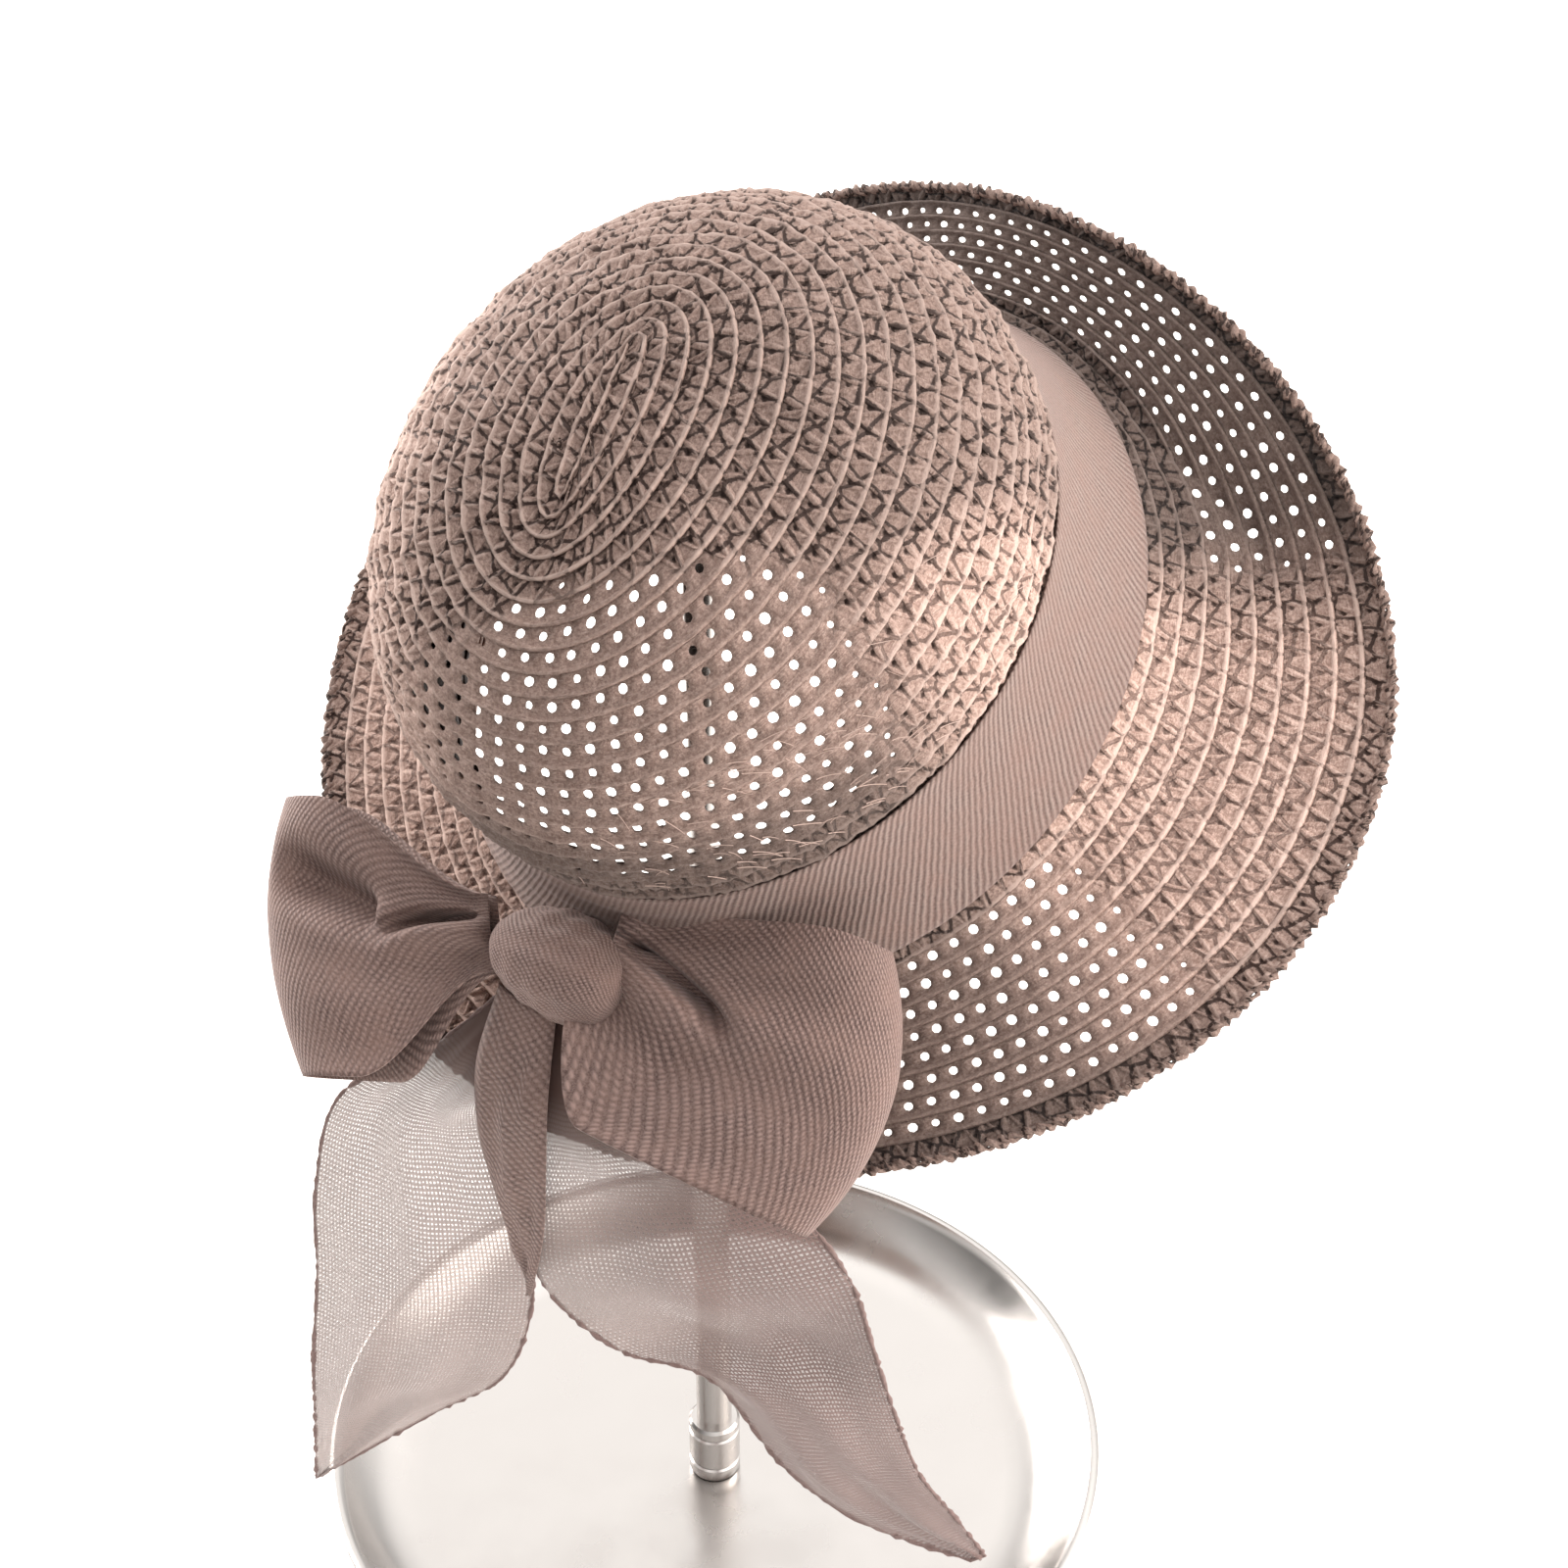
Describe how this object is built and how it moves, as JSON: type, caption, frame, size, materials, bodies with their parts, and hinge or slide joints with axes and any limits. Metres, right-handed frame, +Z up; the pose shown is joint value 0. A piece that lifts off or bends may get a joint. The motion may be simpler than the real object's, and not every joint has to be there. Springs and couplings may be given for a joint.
{
  "type": "straw hat on a display stand",
  "caption": "Domed straw sun hat with a wide brim turned up in front, a ribbon band and a bow at the back, tipped back on a plain post stand.",
  "frame": {"origin": "centre of the stand base's underside, on the axis of the post", "axes": "+Z up along the post; the hat's front points to +Y and up, and its bow to -Y and down"},
  "size_m": [0.3139, 0.298, 0.4722],
  "materials": {
    "straw": "woven matte",
    "ribbon": "sheer woven ribbon",
    "metal": "polished"
  },
  "bodies": {
    "root": {"crown": "straw", "brim": "straw", "ribbon_band": "ribbon", "bow_knot": "ribbon", "bow_loop_left": "ribbon", "bow_loop_right": "ribbon", "bow_tail_left": "ribbon", "bow_tail_right": "ribbon", "stand_base": "metal", "stand_collar": "metal", "stand_post": "metal", "stand_rest": "metal"}
  },
  "joints": []
}
